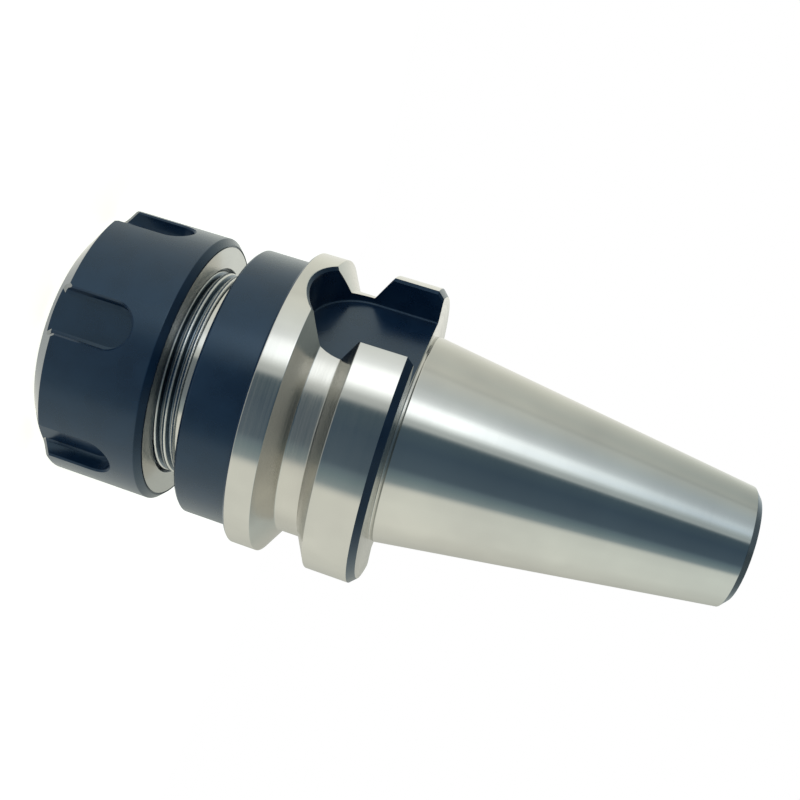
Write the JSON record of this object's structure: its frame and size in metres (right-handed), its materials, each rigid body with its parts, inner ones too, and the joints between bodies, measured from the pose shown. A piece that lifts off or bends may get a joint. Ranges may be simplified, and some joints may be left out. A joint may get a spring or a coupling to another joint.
{
  "type": "collet chuck holder",
  "caption": "Steel collet chuck for a milling spindle: ground taper, V-grooved flange with drive-key slots, dark collar, slotted clamping nut and slit collet.",
  "frame": {"origin": "centre of the gauge plane, where the spindle taper is 31.75 mm across", "axes": "+Z along the spindle axis towards the small end of the taper, +Y and -Y through the two drive-key slots"},
  "size_m": [0.046, 0.046, 0.1026],
  "materials": {
    "ground_steel": "ground and fine turned, collar and key slots black oxide",
    "spring_steel": "hardened and ground",
    "black_oxide_steel": "satin black oxide, front cone and back face ground bright"
  },
  "bodies": {
    "chuck": {"chuck_body": "ground_steel"},
    "collet_carrier": {"collet": "spring_steel"},
    "nut": {"clamping_nut": "black_oxide_steel"}
  },
  "joints": [
    {"name": "collet_travel", "type": "slide", "parent": "chuck", "child": "collet_carrier", "axis": [0, 0, -1], "range_m": [0, 0.0105]},
    {"name": "nut_turn", "type": "hinge", "parent": "collet_carrier", "child": "nut", "pos_m": [0, 0, -0.04425], "axis": [0, 0, -1], "range_deg": [0, 2520]}
  ],
  "couplings": [
    {"joint": "collet_travel", "follows": "nut_turn", "m_per_rad": 0.00023873}
  ]
}
